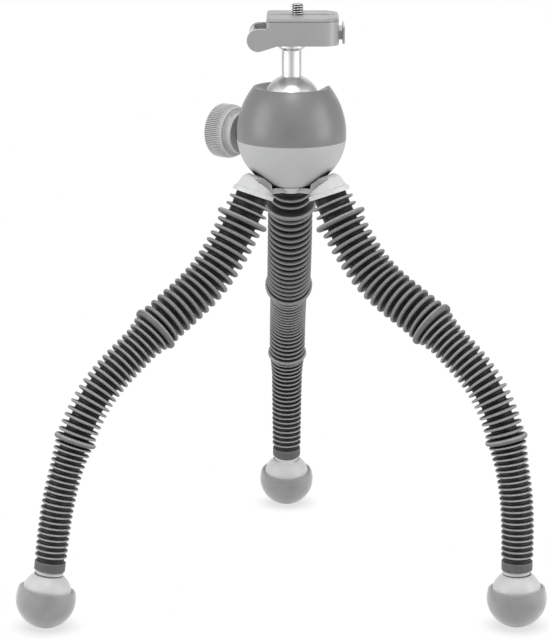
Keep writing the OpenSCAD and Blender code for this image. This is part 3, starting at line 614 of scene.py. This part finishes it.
def knob_grip():
    low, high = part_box("knob_grip")
    away = Vector(JOINT["knob_turn"]["axis"])
    side = Vector((-away.y, away.x, 0))
    axis_z = (low.z + high.z) / 2 / MM
    radius = (high.z - low.z) / 2 / MM
    rows = [(x, r, 0) for x, r in GRIP_FACE]
    for k in range(1, TAPER_STEPS + 1):
        share = k / TAPER_STEPS
        r = GRIP_NECK + (radius - GRIP_NECK) * math.sin(math.pi / 2 * share)
        rows.append((GRIP_TAPER * share, r, min(1, FLUTE_START + share)))
    rows += [(x, radius, 1) for x in GRIP_BARREL]
    rows += [(GRIP_LENGTH - x, radius - deep, flute) for x, deep, flute in GRIP_EDGE]
    rows += [(GRIP_LENGTH - x, r, 0) for x, r in GRIP_DISH]
    count = FLUTES * FLUTE_SIDES
    verts, grooves = [], []
    for x, r, flute in rows:
        middle = away * (GRIP_AT + x) + UPWARD * axis_z
        for j in range(count):
            a = 2 * math.pi * j / count
            wave = 0.5 - 0.5 * math.cos(2 * math.pi * (j % FLUTE_SIDES) / FLUTE_SIDES)
            # Painted shade: how deep in a flute's groove each point lies
            groove = flute * wave ** FLUTE_POWER
            grooves.append(groove)
            spoke = side * math.cos(a) + UPWARD * math.sin(a)
            verts.append((middle + spoke * (r - FLUTE_DEPTH * groove)) * MM)
    faces = inside_out(tube_faces(len(rows), count, first=False))
    obj = make("knob_fluted_grip", verts, faces, KNOB, "knob")
    paint(obj, "groove", grooves)
    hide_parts("knob_grip")


knob_grip()


# The camera screw, with its thread

PITCH, THREAD_R, THREAD_ROOT_R = 1.27, 3.175, 2.42
CREST_GAIN, CREST_CUT = 1.55, 0.12
SCREW_SIDES, ROWS_PER_TURN = 48, 10
THREAD_BELOW_PLATE, THREAD_BELOW_TIP = 0.6, 0.15
TIP_R, TIP_SLOPE = 2.35, 1.1
# Flange: height above the screw's lower end and radius. Tip: depth below the upper end and radius.
FLANGE_ROWS = ((0.0, 0.8), (0.0, 4.7), (0.2, 5.05), (2.0, 5.05), (2.2, 4.8), (2.2, 2.95))
TIP_ROWS = ((0.1, TIP_R), (0.0, 2.15), (0.0, 1.5), (0.12, 1.2), (0.15, 0.5))


def thread_crest(z, turn):
    """From 0 at the thread's root to 1 on its crest, at a height and a share of a turn."""
    phase = (z / PITCH - turn) % 1.0
    return min(1.0, max(0.0, CREST_GAIN * (1 - abs(2 * phase - 1)) - CREST_CUT))


def camera_screw():
    low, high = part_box("camera_screw")
    middle = (low + high) / 2
    foot, top = low.z / MM, high.z / MM
    rows = [(foot + up, r) for up, r in FLANGE_ROWS]
    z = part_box("quick_plate")[1].z / MM - THREAD_BELOW_PLATE
    while z < top - THREAD_BELOW_TIP:
        rows.append((z, None))
        z += PITCH / ROWS_PER_TURN
    rows += [(top - down, r) for down, r in TIP_ROWS]
    verts, grooves = [], []
    for z, plain_r in rows:
        for j in range(SCREW_SIDES):
            turn = j / SCREW_SIDES
            if plain_r is None:
                crest = thread_crest(z, turn)
                r = min(THREAD_ROOT_R + (THREAD_R - THREAD_ROOT_R) * crest, TIP_R + (top - z) * TIP_SLOPE)
                # Painted shade: how far from the thread's crest each point lies
                grooves.append(1 - crest)
            else:
                r = plain_r
                grooves.append(0)
            a = 2 * math.pi * turn
            verts.append((middle.x + r * MM * math.cos(a), middle.y + r * MM * math.sin(a), z * MM))
    faces = tube_faces(len(rows), SCREW_SIDES)
    obj = make("camera_screw_thread", verts, faces, SCREW, "screw")
    paint(obj, "groove", grooves)
    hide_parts("camera_screw")


camera_screw()


# The plate, with a rounded upper edge, and the dovetail that it slides on

PLATE_LEFT, PLATE_RIGHT = -13.2, 24.8
LEFT_CORNER, RIGHT_CORNER, CORNER_STEPS = 2.0, 9.0, 12
PLATE_THICK = 1.8
PLATE_FILLET, FILLET_STEPS = 1.6, 8
PLATE_CHAMFER = 0.12
SCREW_X = JOINT["screw_turn"]["pos_m"][0] / MM
SCREW_HOLE_R, FLANGE_HOLE_R = 3.3, 5.4
SCREW_HOLE_DEPTH, FLANGE_TOP, FLANGE_HOLE_DEPTH = 3.5, 2.8, 7

# Cuts in the plate's top
GROOVE_X, GROOVE_Y, GROOVE_DEPTH = (-13.0, 15.6), (-0.55, 0.55), 0.6
SLOT_X, SLOT_Y, SLOT_DEPTH = (15.4, 20.2), (-0.9, 0.9), 1.2
DIMPLE_X, DIMPLE_R, DIMPLE_DEPTH = 21.9, 0.95, 0.8
DIMPLE_SIDES = 24
CUT_OVER = 1

# Dovetail: its middle, its two ends and its outline, across and down from the plate's underside
TAIL_X, TAIL_Y = 4.18, (-16.5, 19.1)
TAIL_OUTLINE = ((-9, 0), (-11, -5.4), (-11, -5.6), (11, -5.6), (11, -5.4), (9, 0))


def plate_ring(inset, z):
    """The plate's outline at one height, drawn in by an inset."""
    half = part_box("clamp_body")[1].y / MM
    corners = ((PLATE_RIGHT, -half, RIGHT_CORNER), (PLATE_RIGHT, half, RIGHT_CORNER),
               (PLATE_LEFT, half, LEFT_CORNER), (PLATE_LEFT, -half, LEFT_CORNER))
    ring = []
    for quarter, (x, y, r) in enumerate(corners, -1):
        middle = Vector((x - math.copysign(r, x), y - math.copysign(r, y), z))
        for k in range(CORNER_STEPS + 1):
            a = math.pi / 2 * (quarter + k / CORNER_STEPS)
            ring.append((middle + Vector((math.cos(a), math.sin(a), 0)) * (r - inset)) * MM)
    return ring


def block(x, y, z):
    verts = [(a * MM, b * MM, c * MM) for c in z for b in y for a in x]
    return verts, [(0, 2, 3, 1), (4, 5, 7, 6), (0, 1, 5, 4), (2, 6, 7, 3), (0, 4, 6, 2), (1, 3, 7, 5)]


def drum(x, r, z, count=48):
    turns = [2 * math.pi * j / count for j in range(count)]
    verts = [((x + r * math.cos(a)) * MM, r * math.sin(a) * MM, c * MM) for c in z for a in turns]
    return verts, tube_faces(2, count)


def carve(obj, cutters):
    """Cut closed shapes out of a mesh and keep the result as its own mesh."""
    tools = []
    for k, (verts, faces) in enumerate(cutters):
        mesh = bpy.data.meshes.new(f"cutter_{k}")
        mesh.from_pydata(verts, [], faces)
        tool = bpy.data.objects.new(f"cutter_{k}", mesh)
        scene.collection.objects.link(tool)
        cut = obj.modifiers.new(f"cut_{k}", "BOOLEAN")
        cut.operation = "DIFFERENCE"
        cut.solver = "EXACT"
        cut.object = tool
        tools.append(tool)
    bpy.context.view_layer.update()
    done = bpy.data.meshes.new_from_object(obj.evaluated_get(bpy.context.evaluated_depsgraph_get()))
    obj.modifiers.clear()
    obj.data = done
    for tool in tools:
        bpy.data.objects.remove(tool, do_unlink=True)


def top_plate():
    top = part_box("quick_plate")[1].z / MM
    under = top - PLATE_THICK
    above = top + CUT_OVER
    rows = [plate_ring(PLATE_CHAMFER, under), plate_ring(0, under + PLATE_CHAMFER)]
    for k in range(FILLET_STEPS + 1):
        a = math.pi / 2 * k / FILLET_STEPS
        rows.append(plate_ring(PLATE_FILLET * (1 - math.cos(a)), top - PLATE_FILLET * (1 - math.sin(a))))
    verts = [v for row in rows for v in row]
    obj = make("rounded_plate", verts, tube_faces(len(rows), len(rows[0])), PLATE, "plate")
    carve(obj, [block(GROOVE_X, GROOVE_Y, (top - GROOVE_DEPTH, above)),
                block(SLOT_X, SLOT_Y, (top - SLOT_DEPTH, above)),
                drum(DIMPLE_X, DIMPLE_R, (top - DIMPLE_DEPTH, above), DIMPLE_SIDES),
                drum(SCREW_X, SCREW_HOLE_R, (under - CUT_OVER, above))])
    verts = [((TAIL_X + x) * MM, y * MM, (under + z) * MM) for y in TAIL_Y for x, z in TAIL_OUTLINE]
    faces = inside_out(tube_faces(2, len(TAIL_OUTLINE)))
    rail = make("plate_dovetail", verts, faces, PLATE, "plate")
    shade(rail, False)
    carve(rail, [drum(SCREW_X, SCREW_HOLE_R, (under - SCREW_HOLE_DEPTH, under + CUT_OVER)),
                 drum(SCREW_X, FLANGE_HOLE_R, (under - FLANGE_HOLE_DEPTH, under - FLANGE_TOP))])
    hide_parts("quick_plate")
    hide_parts("quick_plate")
    soften(obj)


top_plate()


# The release button's leaf spring, a bowed strip

SPRING_SHEET, SPRING_STEPS, SPRING_PRESS = 0.35, 24, 1.25


def button_spring():
    low, high = (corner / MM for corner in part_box("button_spring"))
    reach = high.x - low.x
    verts = []
    for k in range(SPRING_STEPS + 1):
        share = 2 * k / SPRING_STEPS - 1
        x = low.x + (reach - SPRING_SHEET) * math.cos(math.pi / 2 * share)
        y = (low.y + high.y) / 2 + (high.y - low.y) / 2 * share
        section = ((x, low.z), (x + SPRING_SHEET, low.z), (x + SPRING_SHEET, high.z), (x, high.z))
        verts += [(a * MM, y * MM, z * MM) for a, z in section]
    obj = make("bowed_spring", verts, tube_faces(SPRING_STEPS + 1, 4), STEEL, "clamp")
    soften(obj)
    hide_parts("button_spring")
    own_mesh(obj)


button_spring()


# Rounded edges on the solids that show, in millimetres

EDGE_WIDTH = {
    "clamp_body": 0.25, "clamp_lever": 0.3, "release_button": 0.4, "dome": 0.45, "bowl": 0.3,
    "hub": 0.35, "knob_collar": 0.25, "ball_stem": 0.2, "ball_liner": 0.2,
}
PAD_EDGE, PAD_SEGMENTS, CAP_EDGE = 1.1, 4, 0.5
WELD_REACH = 0.02
FLAT_ANGLE, BEVEL_ANGLE = math.radians(0.4), math.radians(38)


def round_edges(name, width, segments=3):
    node = frame["nodes"][name]
    weld = node.modifiers.new("weld", "WELD")
    weld.merge_threshold = WELD_REACH * MM
    flat = node.modifiers.new("flat", "DECIMATE")
    flat.decimate_type = "DISSOLVE"
    flat.angle_limit = FLAT_ANGLE
    edge = node.modifiers.new("edge", "BEVEL")
    edge.width = width * MM
    edge.segments = segments
    edge.limit_method = "ANGLE"
    edge.angle_limit = BEVEL_ANGLE
    edge.harden_normals = False
    normals = node.modifiers.new("normals", "WEIGHTED_NORMAL")
    normals.keep_sharp = True


for name, width in EDGE_WIDTH.items():
    round_edges(name, width)
for leg in LEGS:
    round_edges(f"{leg}_foot_pad", PAD_EDGE, PAD_SEGMENTS)
    round_edges(f"{leg}_foot_cap", CAP_EDGE)


# Floor and backdrop

WHITE = (1, 1, 1, 1)
FLOOR_GREY = (0.85, 0.85, 0.85, 1)
FLOOR_GLOW, WORLD_LIGHT = 0.15, 0.35
FLOOR_HALF, FLOOR_Z = 6.0, -0.0002


def backdrop_rays(tree):
    """1 for the rays that show the backdrop itself: straight, mirrored or through glass."""
    path = tree.nodes.new("ShaderNodeLightPath")
    value = path.outputs["Is Camera Ray"]
    for kind in ("Is Glossy Ray", "Is Transmission Ray"):
        either = tree.nodes.new("ShaderNodeMath")
        either.operation = "MAXIMUM"
        link(tree, value, either.inputs[0])
        link(tree, path.outputs[kind], either.inputs[1])
        value = either.outputs[0]
    return value


def by_ray(tree, lit, shown, out):
    """One shader for the rays that show the backdrop, and another for those that light the object."""
    mix = tree.nodes.new("ShaderNodeMixShader")
    link(tree, backdrop_rays(tree), mix.inputs[0])
    link(tree, lit.outputs[0], mix.inputs[1])
    link(tree, shown.outputs[0], mix.inputs[2])
    link(tree, mix.outputs[0], out.inputs["Surface"])


def floor():
    """A white floor with a painted contact shadow, a little darker right under the object."""
    corners = [(x * FLOOR_HALF, y * FLOOR_HALF, FLOOR_Z) for x, y in ((-1, -1), (1, -1), (1, 1), (-1, 1))]
    mesh = bpy.data.meshes.new("floor")
    mesh.from_pydata(corners, [], [(0, 1, 2, 3)])
    obj = bpy.data.objects.new("floor", mesh)
    scene.collection.objects.link(obj)
    material, tree, bsdf = shader("floor_white")
    put(bsdf, {"Base Color": FLOOR_GREY, "Roughness": 0.9})
    put(bsdf, {"Emission Color": WHITE, "Emission Strength": FLOOR_GLOW})
    glow = tree.nodes.new("ShaderNodeEmission")
    # Painted shadow: the floor's glow drops where the object stands close by
    contact_shadow = openness(tree, reach=15, samples=16, span=(0.3, 0.8), low=0.75)
    link(tree, contact_shadow, glow.inputs["Strength"])
    by_ray(tree, bsdf, glow, tree.nodes["Material Output"])
    mesh.materials.append(material)


def world():
    studio = bpy.data.worlds.new("studio")
    scene.world = studio
    studio.use_nodes = True
    tree = studio.node_tree
    tree.nodes.clear()
    out = tree.nodes.new("ShaderNodeOutputWorld")
    soft = tree.nodes.new("ShaderNodeBackground")
    put(soft, {"Color": WHITE, "Strength": WORLD_LIGHT})
    white = tree.nodes.new("ShaderNodeBackground")
    put(white, {"Color": WHITE, "Strength": 1.0})
    by_ray(tree, soft, white, out)


# Light and camera, in metres

SIDE_GLOW = 0.42
SENSOR, LENS, CLIP_END = 36.0, 182.384, 50
CAMERA_AT = (-0.000954, -1.46236, 0.498531)
CAMERA_PITCH, CAMERA_YAW = math.radians(13.42547), math.radians(-0.31637)


def lamp(name, place, aim, size, power, mirrored=True):
    data = bpy.data.lights.new(name, "AREA")
    data.shape = "RECTANGLE"
    data.size, data.size_y = size
    data.energy = power
    obj = bpy.data.objects.new(name, data)
    obj.location = place
    obj.rotation_euler = (Vector(aim) - Vector(place)).to_track_quat("-Z", "Y").to_euler()
    obj.visible_glossy = mirrored
    scene.collection.objects.link(obj)


def card(name, start, end, glow):
    """An upright grey panel between two opposite corners, seen only where glossy surfaces mirror it."""
    (x0, y0, z0), (x1, y1, z1) = start, end
    mesh = bpy.data.meshes.new(name)
    mesh.from_pydata([(x0, y0, z0), (x1, y1, z0), (x1, y1, z1), (x0, y0, z1)], [], [(0, 1, 2, 3)])
    material, tree, _ = shader(name)
    light = tree.nodes.new("ShaderNodeEmission")
    put(light, {"Strength": glow})
    link(tree, light.outputs[0], tree.nodes["Material Output"].inputs["Surface"])
    mesh.materials.append(material)
    obj = bpy.data.objects.new(name, mesh)
    obj.visible_camera = False
    obj.visible_diffuse = False
    obj.visible_shadow = False
    scene.collection.objects.link(obj)


def camera():
    data = bpy.data.cameras.new("camera")
    data.sensor_fit = "HORIZONTAL"
    data.sensor_width = SENSOR
    data.lens = LENS
    data.clip_end = CLIP_END
    obj = bpy.data.objects.new("camera", data)
    obj.location = CAMERA_AT
    level = Vector((math.sin(CAMERA_YAW), math.cos(CAMERA_YAW), 0))
    ahead = level * math.cos(CAMERA_PITCH) - UPWARD * math.sin(CAMERA_PITCH)
    obj.rotation_euler = ahead.to_track_quat("-Z", "Y").to_euler()
    scene.collection.objects.link(obj)
    scene.camera = obj


floor()
world()
lamp("left_box", place=(-1.3, -0.5, 0.75), aim=(0, 0, 0.2), size=(0.9, 1.4), power=12)
lamp("right_box", place=(1.35, -0.4, 0.7), aim=(0, 0, 0.2), size=(0.9, 1.4), power=12)
lamp("top_box", place=(0.0, 0.35, 1.6), aim=(0, 0.1, 0.2), size=(1.4, 1.4), power=11, mirrored=False)
lamp("front_box", place=(0.0, -0.75, 1.75), aim=(0, 0, 0.25), size=(0.5, 0.35), power=8)
card("dark_card", start=(-0.66, -1.9, 0.0), end=(0.66, -1.9, 1.0), glow=0.01)
for name, x in (("left_card", -1.0), ("right_card", 1.0)):
    card(name, start=(x, -0.05, 0.12), end=(x, 1.6, 1.7), glow=SIDE_GLOW)
    card(f"{name}_high", start=(x, -0.9, 0.95), end=(x, -0.05, 2.0), glow=SIDE_GLOW)
camera()

scene.view_settings.view_transform = "Standard"
